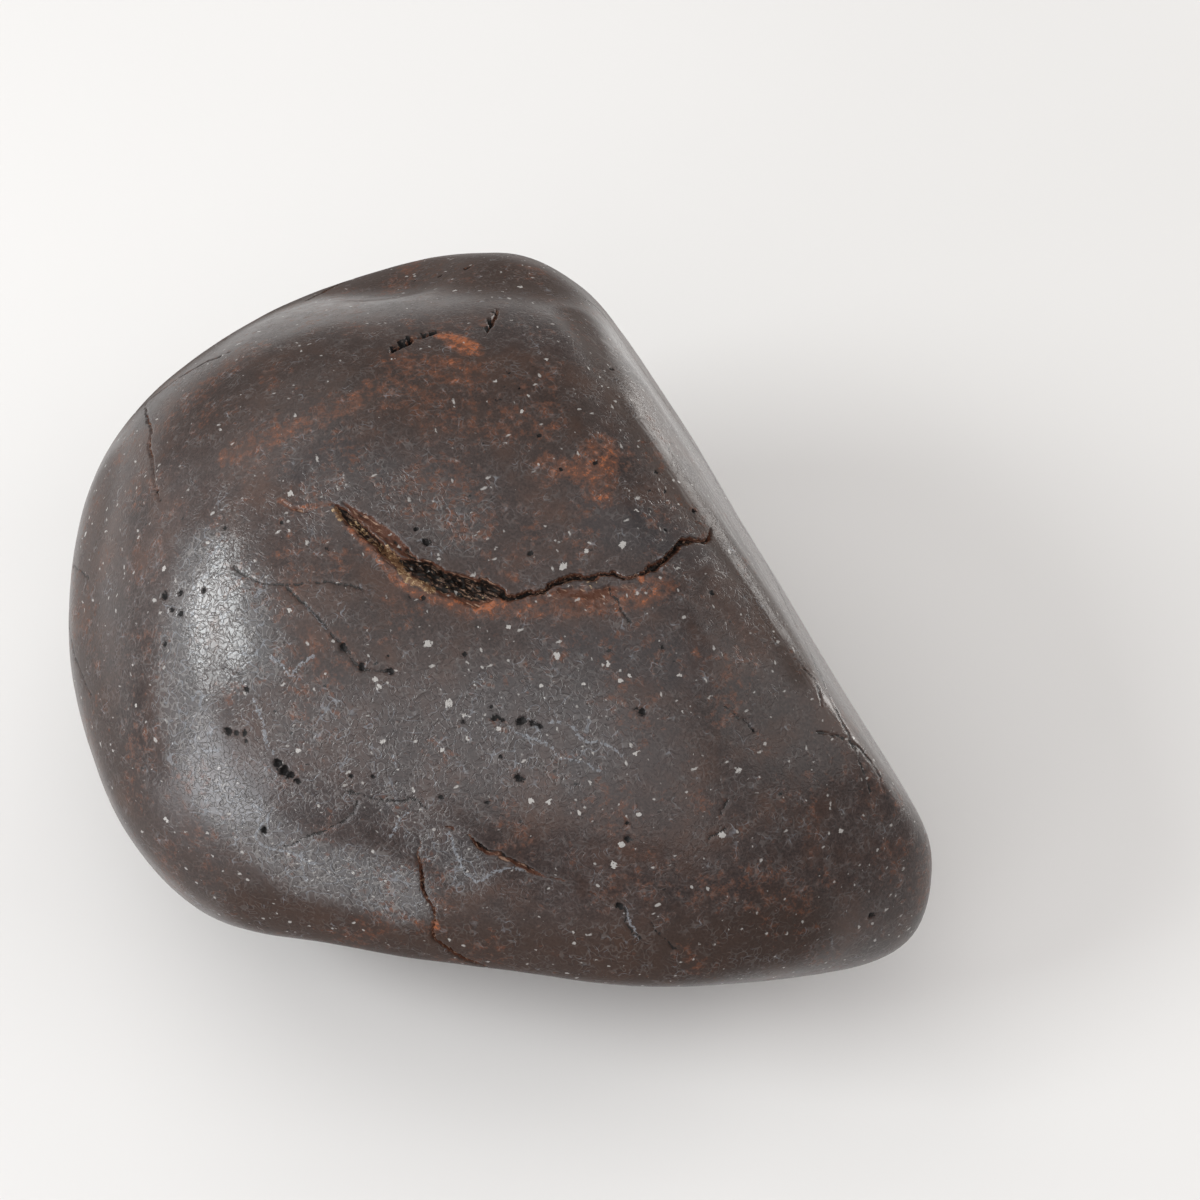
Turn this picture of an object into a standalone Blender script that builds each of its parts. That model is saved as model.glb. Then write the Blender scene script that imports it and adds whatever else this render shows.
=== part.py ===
"""A tumbled meteorite: one worn and polished stone with a few open fissures, resting on a small flat spot.

Metres, +Z up. The origin is under the middle of the stone's box, on the surface that it rests on. +X runs along
the longest side, towards the narrow nose. The broad top leans towards -Y, and the back (+Y) falls away steeply.
"""

import math

import bmesh
import bpy
from mathutils import Matrix, Vector

MM = 0.001

# Driving dimensions: the stone's heart is the point inside it that every worn face is measured from.
HEART_HEIGHT = 13.0 * MM
BALL_SUBDIVISIONS = 5
LONGEST_EDGE = 1.7 * MM  # the ends of the stone, far from its heart, are divided once more where edges pass this

# Worn faces, each the azimuth and elevation in degrees of its outward direction, and its distance in millimetres.
WORN_FACES = {
    "top": (282, 66, 12.8),
    "crown": (100, 66, 15.0),
    "left_dome": (200, 46, 18.2),
    "front_shoulder": (262, 34, 16.8),
    "nose_shoulder": (312, 38, 20.2),
    "back_right": (56, 38, 16.8),
    "back_end": (80, 44, 25.0),
    "back_left": (132, 38, 20.0),
    "left_upper": (162, 22, 23.1),
    "left_end": (190, 4, 24.0),
    "left_lower": (221, -12, 23.8),
    "front": (252, -18, 22.0),
    "front_right": (292, -22, 25.0),
    "nose": (330, -6, 60.0),
    "under_front": (262, -54, 16.6),
    "under_right": (25, -22, 14.8),
    "under_back": (95, -30, 18.0),
    "under_left": (170, -42, 18.0),
    "keel_right": (34, -58, 15.6),
    "keel_back": (100, -60, 16.0),
    "keel_left": (180, -62, 16.6),
    "underside": (255, -87, 13.4),
}
BODY_SHARPNESS = 12.0  # higher makes the joins between the worn faces tighter

# The long straight facet on the right meets the top in a tighter crest than the other faces have.
CREST_FACE = (23, 26, 13.0)
CREST_SHARPNESS = 40.0

# Low swells and, below zero, shallow hollows: azimuth and elevation in degrees, height in millimetres, and the
# spread in degrees within which most of it lies.
SWELLS = {
    "hollow_behind_left": (110, 24, -1.3, 12),
    "back_lump": (86, 26, 1.2, 13),
    "nose_lump": (322, -13, 0.9, 10),
    "under_nose": (308, -22, 0.6, 12),
    "front_hollow": (275, -22, -0.6, 12),
    "front_left_lump": (230, -16, 0.7, 11),
    "left_hollow": (205, -4, -0.4, 10),
}

# Fissure routes: x, y and z in millimetres near the surface, which they are pulled onto, and the open width there.
FISSURES = {
    "main": (
        (-9.1, -4.5, 25.6, 0.25),
        (-7.0, -4.3, 25.7, 0.50),
        (-6.1, -5.6, 25.1, 0.90),
        (-4.0, -6.8, 24.4, 1.10),
        (-1.9, -7.6, 23.9, 1.10),
        (0.1, -8.0, 23.5, 0.80),
        (2.1, -8.3, 23.2, 0.50),
        (4.5, -7.1, 23.5, 0.60),
        (7.8, -6.7, 23.4, 0.50),
        (9.9, -5.2, 23.8, 0.40),
        (11.2, -4.5, 23.9, 0.30),
    ),
    "front": (
        (-3.2, -17.5, 16.6, 0.20),
        (-2.9, -19.1, 14.2, 0.35),
        (-2.5, -20.3, 11.8, 0.35),
        (-1.7, -20.6, 11.0, 0.50),
        (-0.6, -20.8, 10.0, 0.50),
        (0.4, -20.6, 8.6, 0.25),
    ),
    "front_right": (
        (-1.8, -17.4, 16.9, 0.30),
        (-0.1, -18.3, 16.0, 0.45),
        (2.2, -19.0, 15.4, 0.45),
        (3.8, -19.4, 15.1, 0.30),
        (6.2, -20.2, 14.2, 0.20),
    ),
    "crown_left": (
        (-4.9, 5.4, 26.6, 0.30),
        (-3.5, 6.7, 26.1, 0.50),
        (-2.5, 7.2, 26.0, 0.30),
    ),
    "crown_right": (
        (-0.6, 6.3, 26.5, 0.25),
        (0.3, 9.6, 25.1, 0.25),
    ),
}
DEPTH_PER_WIDTH = 1.3
CUTTER_LIFT = 0.5 * MM  # how far a cutter stands out of the surface, so that it opens the groove everywhere
FLOOR_SHARE = 0.2  # the groove's floor as a share of its open width
WALL_LEAN = 0.25  # the floor lies under the groove's left wall, which is the steep one, by this share of the width

STONE_COLOUR = (0.055, 0.043, 0.038, 1.0)
STONE_ROUGHNESS = 0.35


def clear_scene():
    for thing in list(bpy.data.objects):
        bpy.data.objects.remove(thing, do_unlink=True)


def new_collection(name):
    collection = bpy.data.collections.new(name)
    bpy.context.scene.collection.children.link(collection)
    return collection


def stone_material():
    material = bpy.data.materials.new("polished_stone")
    material.use_nodes = True
    shader = material.node_tree.nodes["Principled BSDF"]
    shader.inputs["Base Color"].default_value = STONE_COLOUR
    shader.inputs["Roughness"].default_value = STONE_ROUGHNESS
    shader.inputs["Metallic"].default_value = 0.0
    return material


def direction(azimuth, elevation):
    """The unit vector at this azimuth and elevation in degrees."""
    level = math.cos(math.radians(elevation))
    turn = math.radians(azimuth)
    return Vector((level * math.cos(turn), level * math.sin(turn), math.sin(math.radians(elevation))))


def share_of_face(towards, face):
    """How near a ray of unit length comes to a worn face, in 1/mm: 0 where it points away from it."""
    azimuth, elevation, distance = face
    return max(0.0, towards.dot(direction(azimuth, elevation)) / distance)


def reach(towards):
    """Distance in metres from the heart to the surface: the worn faces, rounded where they meet, and the swells."""
    body = sum(share_of_face(towards, face) ** BODY_SHARPNESS for face in WORN_FACES.values())
    crest = share_of_face(towards, CREST_FACE) ** CREST_SHARPNESS
    distance = (body ** (CREST_SHARPNESS / BODY_SHARPNESS) + crest) ** (-1.0 / CREST_SHARPNESS)
    for azimuth, elevation, height, spread in SWELLS.values():
        angle = math.degrees(towards.angle(direction(azimuth, elevation)))
        distance += height * math.exp(-((angle / spread) ** 2))
    return distance * MM


def heart():
    return Vector((0.0, 0.0, HEART_HEIGHT))


def on_surface(point):
    """The point of the surface on the ray from the heart through this point, and that ray's direction."""
    towards = (point - heart()).normalized()
    return heart() + towards * reach(towards), towards


def draw_out(ball):
    """Moves each vertex along its ray from the heart onto the stone's surface."""
    for vertex in ball.verts:
        vertex.co = on_surface(vertex.co)[0]


def stone_mesh():
    """A ball drawn out to the worn faces, then cut level where it rests."""
    ball = bmesh.new()
    bmesh.ops.create_icosphere(ball, subdivisions=BALL_SUBDIVISIONS, matrix=Matrix.Translation(heart()), radius=MM)
    draw_out(ball)
    long_edges = [edge for edge in ball.edges if edge.calc_length() > LONGEST_EDGE]
    bmesh.ops.subdivide_edges(ball, edges=long_edges, cuts=1)
    bmesh.ops.triangulate(ball, faces=ball.faces)
    draw_out(ball)
    everything = ball.verts[:] + ball.edges[:] + ball.faces[:]
    bmesh.ops.bisect_plane(ball, geom=everything, plane_co=(0, 0, 0), plane_no=(0, 0, 1), clear_inner=True)
    rim = [edge for edge in ball.edges if edge.is_boundary]
    bmesh.ops.edgeloop_fill(ball, edges=rim)
    bmesh.ops.recalc_face_normals(ball, faces=ball.faces)
    mesh = bpy.data.meshes.new("meteorite")
    ball.to_mesh(mesh)
    ball.free()
    mesh.shade_smooth()
    return mesh


def groove_section(point, along, up, width):
    """The four corners of a fissure's section: two above the surface, then two on its floor."""
    across = up.cross(along).normalized()
    depth = DEPTH_PER_WIDTH * width
    mouth = 0.5 * width * (1.0 + CUTTER_LIFT / depth)
    floor = 0.5 * FLOOR_SHARE * width
    lean = WALL_LEAN * width
    return (
        point + up * CUTTER_LIFT + across * mouth,
        point + up * CUTTER_LIFT - across * mouth,
        point - up * depth + across * (lean - floor),
        point - up * depth + across * (lean + floor),
    )


def groove_mesh(name, route):
    """A closed loft along one fissure, of the sections at its points."""
    stations = [on_surface(Vector((x, y, z)) * MM) for x, y, z, _ in route]
    loft = bmesh.new()
    rings = []
    for index, (point, up) in enumerate(stations):
        before = stations[max(index - 1, 0)][0]
        after = stations[min(index + 1, len(stations) - 1)][0]
        section = groove_section(point, (after - before).normalized(), up, route[index][3] * MM)
        rings.append([loft.verts.new(corner) for corner in section])
    for ring, next_ring in zip(rings, rings[1:]):
        for side in range(4):
            following = (side + 1) % 4
            loft.faces.new((ring[side], ring[following], next_ring[following], next_ring[side]))
    loft.faces.new(rings[0])
    loft.faces.new(reversed(rings[-1]))
    bmesh.ops.recalc_face_normals(loft, faces=loft.faces)
    mesh = bpy.data.meshes.new("fissure_" + name)
    loft.to_mesh(mesh)
    loft.free()
    return mesh


def cut_fissures(stone, cutters):
    """One cutter for each fissure, taken out of the stone."""
    for name, route in FISSURES.items():
        cutter = bpy.data.objects.new("cutter_" + name, groove_mesh(name, route))
        cutter.hide_render = True
        cutter.display_type = "WIRE"
        cutters.objects.link(cutter)
        cut = stone.modifiers.new("fissure_" + name, "BOOLEAN")
        cut.operation = "DIFFERENCE"
        cut.solver = "EXACT"
        cut.object = cutter


def centre_over_origin(stone, cutters):
    """Moves the stone and its cutters sideways, so that the origin is under the middle of the stone's box."""
    xs = [vertex.co.x for vertex in stone.data.vertices]
    ys = [vertex.co.y for vertex in stone.data.vertices]
    middle = Vector((0.5 * (min(xs) + max(xs)), 0.5 * (min(ys) + max(ys)), 0.0))
    for thing in [stone, *cutters.objects]:
        thing.data.transform(Matrix.Translation(-middle))


def build():
    clear_scene()
    parts = new_collection("meteorite")
    cutters = new_collection("cutters")
    stone = bpy.data.objects.new("meteorite", stone_mesh())
    stone.data.materials.append(stone_material())
    parts.objects.link(stone)
    cut_fissures(stone, cutters)
    centre_over_origin(stone, cutters)


build()
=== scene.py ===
"""The looks of the tumbled meteorite: its fine worn surface, fissures, minerals and rust, and the studio.

The surface follows the solid's worn faces on a much finer mesh, in millimetres from the stone's heart. Its
cracks, pits and patches are placed by the photograph's pixels, cast through the camera onto the surface, and
on the sides that it doesn't show by azimuth and elevation in degrees.
"""

import itertools
import math

import bmesh
import bpy
import numpy as np
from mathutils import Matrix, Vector


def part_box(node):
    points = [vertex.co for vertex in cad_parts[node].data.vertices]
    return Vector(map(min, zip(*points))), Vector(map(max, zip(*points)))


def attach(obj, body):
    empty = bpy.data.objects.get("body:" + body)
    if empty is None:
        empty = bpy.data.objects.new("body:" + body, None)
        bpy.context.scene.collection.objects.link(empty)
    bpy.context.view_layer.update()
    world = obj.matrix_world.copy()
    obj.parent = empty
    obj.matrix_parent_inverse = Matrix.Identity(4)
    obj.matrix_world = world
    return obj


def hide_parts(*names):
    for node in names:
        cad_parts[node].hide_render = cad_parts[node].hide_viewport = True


MM = 0.001

# Camera. Pixels are those of the photograph's frame, and lengths are in millimetres.
PHOTO_PIXELS = 1200
FOCAL_PIXELS = 2800.0
SENSOR_WIDTH = 36.0
CAMERA_PLACE = np.array((5.635, -94.4, 129.6))
CAMERA_TILT = math.radians(39.0)  # up from looking straight down
SIGHT_STEPS = np.arange(120.0, 190.0, 1.0)  # distances from the camera at which a line of sight is tested

# The heart is the point inside the stone that each worn face is measured from: the azimuth and elevation of
# its outward direction, and its distance.
HEART_HEIGHT = 13.0
WORN_FACES = {
    "top": (282, 66, 12.8),
    "crown": (100, 66, 15.0),
    "left_dome": (200, 46, 18.2),
    "front_shoulder": (262, 34, 16.8),
    "nose_shoulder": (312, 38, 20.2),
    "back_right": (56, 38, 16.8),
    "back_end": (80, 44, 25.0),
    "back_left": (132, 38, 20.0),
    "left_upper": (162, 22, 23.1),
    "left_end": (190, 4, 24.0),
    "left_lower": (221, -12, 23.8),
    "front": (252, -18, 22.0),
    "front_right": (292, -22, 25.0),
    "nose": (330, -6, 60.0),
    "under_front": (262, -54, 16.6),
    "under_right": (25, -22, 14.8),
    "under_back": (95, -30, 18.0),
    "under_left": (170, -42, 18.0),
    "keel_right": (34, -58, 15.6),
    "keel_back": (100, -60, 16.0),
    "keel_left": (180, -62, 16.6),
    "underside": (255, -87, 13.4),
}
BODY_SHARPNESS = 12.0
CREST_FACE = (23, 26, 13.0)
CREST_SHARPNESS = 40.0

# Low swells and, below zero, shallow hollows: azimuth and elevation, height, and spread in degrees.
SWELLS = {
    "hollow_behind_left": (110, 24, -1.3, 12),
    "back_lump": (86, 26, 1.2, 13),
    "nose_lump": (322, -13, 0.9, 10),
    "under_nose": (308, -22, 0.6, 12),
    "front_hollow": (275, -22, -0.6, 12),
    "front_left_lump": (230, -16, 0.7, 11),
    "left_hollow": (205, -4, -0.4, 10),
}
UNEVENNESS = ((6.0, 0.14), (2.2, 0.035), (0.8, 0.010))  # sizes and heights of the tumbled surface's waves

# The directions, in degrees, that the stone's box is measured in.
BOX_TURNS = np.arange(0.0, 360.0, 0.5)
BOX_RISES = np.arange(-60.0, 90.0, 0.5)

# The joins between the faces of the seen side are rounder than the solid's. About this azimuth and elevation
# the surface is a mean over directions that lean from each ray by this share of its length.
ROUNDED_ABOUT = (250, 70)
ROUNDING = 0.30
ROUNDED_FROM = 0.20  # the cosine of the angle from there at which the rounding starts
ROUNDED_WHOLE = 0.60  # and that at which it is whole

# Mesh: a fine ball, divided further near cracks and pits.
BALL_SUBDIVISIONS = 7
FINE_EDGE = 0.12
SPOT_EDGE = 0.17  # around pits, flecks and veins
COARSE_EDGE = 0.60
EDGE_GROWTH = 1.50  # how fast the edges lengthen with the distance from a crack
REFINING_PASSES = 3

# Fissures: the photograph's pixels along the lip over the steep wall, and there the open width and the depth.
FISSURES = {
    "main_start": (
        (281, 498, 0.10, 0.05), (291, 504, 0.14, 0.08), (300, 508, 0.22, 0.18), (311, 509, 0.14, 0.10),
        (322, 504, 0.12, 0.08), (334, 502, 0.16, 0.12),
    ),
    "main_ledge": (
        (346, 500, 0.30, 0.10), (359, 508, 0.60, 0.25), (370, 516, 0.70, 0.30), (382, 523, 0.85, 0.32),
        (397, 532, 0.95, 0.35), (409, 545, 0.70, 0.35), (418, 556, 0.30, 0.30),
    ),
    "main": (
        (334, 502, 0.16, 0.12), (346, 507, 0.60, 0.40), (358, 517, 0.65, 0.60), (370, 529, 0.62, 0.65),
        (384, 541, 0.62, 0.70), (398, 552, 0.75, 0.85), (408, 556, 0.95, 1.00), (418, 557, 1.15, 1.05),
        (436, 561, 1.35, 1.15), (447, 569, 1.35, 1.15), (461, 572, 1.45, 1.15), (477, 577, 1.50, 1.05),
        (490, 580, 1.35, 0.95), (503, 587, 0.85, 0.80), (510, 594, 0.35, 0.60), (520, 592, 0.38, 0.55),
        (532, 591, 0.30, 0.50), (542, 590, 0.25, 0.50), (548, 583, 0.30, 0.55), (560, 576, 0.42, 0.60),
        (575, 572, 0.42, 0.60), (590, 575, 0.26, 0.40), (602, 573, 0.24, 0.35), (613, 569, 0.32, 0.45),
        (622, 574, 0.26, 0.40), (633, 573, 0.16, 0.25), (643, 570, 0.28, 0.40), (657, 559, 0.42, 0.60),
        (670, 546, 0.42, 0.60), (681, 538, 0.40, 0.60), (696, 536, 0.26, 0.45), (704, 540, 0.22, 0.40),
        (709, 536, 0.20, 0.35), (711, 527, 0.10, 0.12),
    ),
    "main_rubble": (
        (536, 596, 0.40, 0.06), (548, 592, 0.80, 0.14), (563, 585, 1.20, 0.20), (577, 583, 1.50, 0.22),
        (592, 584, 1.70, 0.22), (606, 582, 1.80, 0.22), (618, 581, 1.50, 0.18), (631, 580, 1.00, 0.14),
        (643, 577, 0.50, 0.08),
    ),
    "front": (
        (417, 824, 0.08, 0.06), (420, 841, 0.14, 0.12), (419, 855, 0.18, 0.20), (422, 870, 0.22, 0.32),
        (425, 884, 0.26, 0.40), (427, 896, 0.20, 0.32), (432, 906, 0.18, 0.28), (436, 918, 0.16, 0.24),
        (434, 930, 0.16, 0.24), (438, 939, 0.26, 0.40), (448, 946, 0.36, 0.60), (460, 954, 0.40, 0.70),
        (473, 961, 0.42, 0.80), (486, 966, 0.30, 0.60), (494, 976, 0.10, 0.20),
    ),
    "front_right": (
        (446, 826, 0.22, 0.25), (453, 828, 0.24, 0.25), (461, 834, 0.08, 0.05), (468, 834, 0.14, 0.15),
        (478, 841, 0.34, 0.40), (486, 849, 0.36, 0.40), (494, 850, 0.34, 0.30), (506, 855, 0.36, 0.30),
        (519, 861, 0.40, 0.30), (532, 869, 0.34, 0.32), (546, 876, 0.14, 0.14), (562, 881, 0.18, 0.16),
        (579, 886, 0.08, 0.06), (594, 894, 0.14, 0.16), (611, 905, 0.10, 0.10),
    ),
    "crown_left": (
        (391, 350, 0.34, 0.45), (397, 345, 0.48, 0.65), (405, 341, 0.46, 0.65), (412, 337, 0.32, 0.45),
        (422, 336, 0.26, 0.40), (433, 332, 0.34, 0.50), (445, 331, 0.16, 0.20), (462, 334, 0.12, 0.10),
        (476, 338, 0.10, 0.08),
    ),
    "crown_right": (
        (484, 335, 0.10, 0.08), (488, 325, 0.28, 0.40), (491, 318, 0.32, 0.50), (497, 309, 0.20, 0.25),
    ),
    "upper_left": (
        (147, 405, 0.08, 0.06), (149, 418, 0.18, 0.25), (152, 430, 0.14, 0.18), (151, 443, 0.20, 0.28),
        (154, 463, 0.12, 0.14), (157, 490, 0.16, 0.18), (160, 502, 0.08, 0.06),
    ),
}

# The same on the sides that the photograph doesn't show: azimuth and elevation, open width and depth.
HIDDEN_FISSURES = {
    "back": (
        (124, 20, 0.10, 0.08), (117, 14, 0.26, 0.30), (111, 10, 0.34, 0.40), (104, 4, 0.28, 0.35),
        (99, -4, 0.18, 0.20), (91, -8, 0.10, 0.08),
    ),
    "back_low": (
        (62, -4, 0.10, 0.08), (70, -9, 0.24, 0.25), (78, -11, 0.30, 0.35), (87, -17, 0.22, 0.25),
        (92, -25, 0.10, 0.08),
    ),
    "left_under": (
        (176, 6, 0.10, 0.08), (181, -4, 0.20, 0.25), (186, -12, 0.26, 0.30), (184, -22, 0.18, 0.20),
        (188, -32, 0.10, 0.06),
    ),
    "nose_under": (
        (338, -20, 0.10, 0.08), (331, -27, 0.20, 0.20), (322, -31, 0.24, 0.25), (312, -38, 0.12, 0.10),
    ),
}
STEEP_SHARE = 0.16  # the share of the open width that the steep wall takes
FLOOR_SHARE = 0.34  # where the floor ends and the slope up to the lower lip begins
GRAIN_LENGTH = 4.0  # fibres in a fissure are this much longer than wide
GRAIN_WIDTH = 0.17
GRAIN_SHARE = 0.75  # how much of the depth the fibres fill at most
WIDE_FISSURE = 4.0 * GRAIN_WIDTH  # above this width a fissure holds fibres, and not only grains
WIDE_FIBRES = 0.6
WIDE_GRAINS = 0.4
NARROW_GRAINS = 0.3
# the depth at which the painted shade inside a fissure is whole
OPEN_DEPTH = 0.30  # a fissure this deep is wholly dark inside
FISSURE_REACH = 2.0  # wider than any fissure
WANDER = ((1.3, 0.14), (0.40, 0.16), (0.15, 0.10))  # sizes and amounts of every edge's raggedness

# Hairlines: pixels along cracks too thin to have a floor.
HAIRLINES = {
    "left_upper": ((233, 567), (249, 576), (267, 585), (290, 585), (315, 582), (341, 582), (364, 590)),
    "left_lower": (
        (288, 588), (305, 602), (318, 615), (331, 630), (343, 643), (351, 653), (360, 666), (394, 673),
    ),
    "left_down": ((226, 668), (240, 674), (249, 690)),
    "front_arch": ((284, 847), (302, 840), (334, 827), (353, 814), (358, 801)),
    "front_arch_upper": ((348, 790), (366, 796), (387, 800), (404, 799), (415, 798), (427, 808)),
    "right_dash": ((725, 706), (735, 715), (744, 722), (753, 731)),
    "right_strokes": ((727, 800), (721, 812)),
    "right_low": ((724, 828), (708, 838)),
    "nose_upper": ((804, 667), (812, 674), (817, 684), (821, 703)),
    "nose_curve": ((818, 731), (846, 739), (871, 760), (882, 789)),
    "front_low": ((623, 907), (628, 928), (640, 940)),
    "front_low_right": ((650, 924), (664, 939), (675, 949)),
    "under_main": ((610, 588), (619, 604), (630, 622)),
    "crest_long": (
        (560, 258), (592, 290), (625, 330), (659, 384), (690, 435), (716, 480), (740, 520), (770, 565),
    ),
    "crest_low": ((745, 520), (785, 600), (822, 678), (850, 740), (870, 790)),
    "left_rim": ((68, 619), (72, 640), (77, 660), (93, 695)),
    "left_rim_upper": ((74, 566), (81, 570), (90, 578)),
}
HIDDEN_HAIRLINES = {
    "back_right": ((70, 34), (60, 24), (52, 12), (40, 2), (30, -8)),
    "back_across": ((130, 18), (118, 12), (104, 10), (92, 14), (80, 10)),
    "back_left": ((150, 34), (158, 20), (154, 8), (162, -6)),
    "right": ((20, 8), (12, -6), (8, -20), (352, -26)),
    "under_front": ((232, -40), (246, -48), (262, -44), (280, -50)),
    "under_left": ((200, -36), (186, -46), (168, -44)),
}
HAIRLINE_WIDTH = 0.13
HAIRLINE_DEPTH = 0.06
HAIRLINE_REACH = 1.0  # wider than any hairline with its raggedness
PIT_STEEPNESS = 1.6  # above 1, a pit is steep at its rim and flat in its middle

# Pits, by where they lie: pixels, or azimuth and elevation, then the radius and the depth.
PITS = {
    "left": (
        (278, 762, 0.26, 0.22), (284, 770, 0.30, 0.30), (291, 775, 0.24, 0.20), (299, 781, 0.20, 0.16),
        (229, 731, 0.22, 0.15), (237, 732, 0.18, 0.08), (246, 733, 0.18, 0.08), (248, 741, 0.12, 0.08),
        (265, 829, 0.22, 0.20),
    ),
    "highlight": (
        (165, 645, 0.16, 0.12), (166, 595, 0.22, 0.18), (181, 591, 0.18, 0.14), (173, 608, 0.16, 0.12),
        (181, 614, 0.16, 0.12), (204, 590, 0.14, 0.10), (249, 690, 0.18, 0.14),
    ),
    "above_left": (
        (157, 490, 0.14, 0.12), (160, 500, 0.12, 0.10), (226, 527, 0.12, 0.08), (284, 522, 0.12, 0.08),
        (329, 548, 0.14, 0.10), (353, 614, 0.12, 0.08), (351, 775, 0.12, 0.08), (374, 776, 0.12, 0.08),
        (345, 646, 0.20, 0.14), (363, 666, 0.18, 0.12), (391, 671, 0.16, 0.10), (389, 656, 0.10, 0.08),
    ),
    "middle": (
        (491, 707, 0.12, 0.08), (465, 653, 0.14, 0.10), (515, 662, 0.10, 0.08), (465, 720, 0.16, 0.12),
        (496, 717, 0.20, 0.14), (503, 719, 0.14, 0.10), (522, 720, 0.24, 0.18), (531, 723, 0.18, 0.14),
        (538, 724, 0.18, 0.14), (643, 710, 0.22, 0.16), (636, 707, 0.14, 0.10), (520, 778, 0.22, 0.16),
        (502, 757, 0.14, 0.10), (487, 801, 0.16, 0.10), (441, 796, 0.14, 0.08),
    ),
    "right": (
        (628, 823, 0.14, 0.10), (626, 840, 0.16, 0.12), (663, 646, 0.18, 0.12), (753, 731, 0.12, 0.10),
        (711, 592, 0.14, 0.10), (870, 915, 0.22, 0.16),
    ),
    "above": (
        (612, 370, 0.16, 0.12), (520, 388, 0.12, 0.10), (498, 400, 0.12, 0.08), (508, 372, 0.12, 0.08),
        (595, 463, 0.14, 0.10), (560, 469, 0.12, 0.08), (656, 472, 0.14, 0.10), (649, 490, 0.12, 0.08),
        (665, 490, 0.12, 0.08), (695, 511, 0.14, 0.10), (539, 435, 0.12, 0.08),
    ),
    "by_main_fissure": (
        (427, 541, 0.24, 0.16), (416, 528, 0.14, 0.10), (531, 553, 0.16, 0.12), (665, 529, 0.12, 0.10),
        (423, 597, 0.14, 0.10), (411, 597, 0.12, 0.08),
    ),
    "front": ((619, 906, 0.20, 0.16),),
    "crown": (
        (440, 276, 0.16, 0.10), (414, 280, 0.14, 0.08), (394, 347, 0.22, 0.20), (401, 342, 0.26, 0.30),
        (408, 338, 0.22, 0.20), (424, 334, 0.20, 0.20), (433, 332, 0.20, 0.20), (487, 327, 0.16, 0.16),
        (490, 319, 0.24, 0.30), (495, 311, 0.18, 0.20),
    ),
}
HIDDEN_PITS = {
    "back": ((96, 30, 0.24, 0.20), (124, 4, 0.20, 0.16), (64, 12, 0.22, 0.18), (142, 24, 0.16, 0.12)),
    "right": ((24, -10, 0.20, 0.16), (6, 6, 0.18, 0.14)),
    "left": ((172, -18, 0.20, 0.16),),
    "under": ((250, -56, 0.22, 0.18), (120, -44, 0.22, 0.18)),
}

# Large iron flecks, by where they lie: pixels, or azimuth and elevation, and the radius.
FLECKS = {
    "middle": (
        (291, 609, 0.20), (430, 642, 0.24), (448, 703, 0.26), (465, 714, 0.16), (471, 715, 0.14),
        (468, 738, 0.16), (417, 740, 0.14), (383, 740, 0.16), (377, 679, 0.16), (382, 685, 0.14),
        (399, 768, 0.12), (298, 750, 0.14), (413, 790, 0.16), (441, 750, 0.16), (499, 728, 0.14),
        (479, 625, 0.14), (508, 625, 0.16),
    ),
    "right": (
        (557, 654, 0.18), (607, 663, 0.16), (621, 678, 0.16), (629, 674, 0.12), (679, 674, 0.14),
        (584, 683, 0.14), (541, 685, 0.14), (635, 752, 0.16), (562, 754, 0.12),
    ),
    "lower": (
        (613, 864, 0.22), (621, 845, 0.16), (720, 834, 0.22), (737, 770, 0.18), (531, 800, 0.16),
        (549, 801, 0.18), (579, 812, 0.16), (638, 815, 0.14),
    ),
    "left": ((165, 568, 0.18), (292, 493, 0.16), (149, 523, 0.12), (135, 706, 0.12), (167, 819, 0.14)),
    "above": (
        (563, 565, 0.20), (621, 543, 0.24), (587, 550, 0.14), (678, 502, 0.14), (638, 511, 0.14),
        (679, 480, 0.12), (644, 416, 0.14), (632, 400, 0.12),
    ),
    "crown": (
        (454, 290, 0.18), (392, 358, 0.14), (494, 382, 0.14), (546, 359, 0.14), (539, 327, 0.12),
        (522, 411, 0.18), (603, 386, 0.14),
    ),
    "nose": ((840, 830, 0.14),),
}
HIDDEN_FLECKS = {
    "back": ((92, 12, 0.22), (134, 14, 0.18), (84, 40, 0.20), (110, -14, 0.20)),
    "right": ((28, 2, 0.18), (14, -18, 0.22)),
    "left": ((178, 12, 0.16),),
    "under": ((236, -50, 0.22),),
}

# Veins: pixels, or azimuths and elevations, along thin pale lines.
VEINS = {
    "curl": ((250, 805), (264, 811), (268, 819), (259, 827), (258, 841), (270, 848), (290, 852), (315, 865)),
    "left_down": ((255, 699), (259, 711), (264, 725), (267, 740), (274, 751)),
    "ring": ((271, 655), (284, 665), (291, 676), (304, 663), (315, 656)),
    "middle": ((508, 728), (534, 738), (551, 746), (561, 755), (584, 762), (595, 770), (607, 772)),
    "middle_upper": ((547, 721), (562, 722), (574, 730), (584, 741), (601, 742), (618, 750)),
    "front": ((449, 833), (457, 854), (469, 875), (479, 881), (492, 873), (508, 868), (524, 870)),
    "front_left": ((392, 838), (400, 820), (409, 811)),
    "by_branch": ((305, 602), (318, 616), (331, 632)),
    "low": ((623, 906), (630, 922), (637, 940)),
}
HIDDEN_VEINS = {
    "back_low": ((96, -6), (88, -2), (80, -6)),
    "under": ((220, -52), (236, -58), (250, -54)),
}
VEIN_WIDTH = 0.12
LINE_REACH = 0.30  # how far from a vein or hairline its material can tell that it is near

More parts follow.
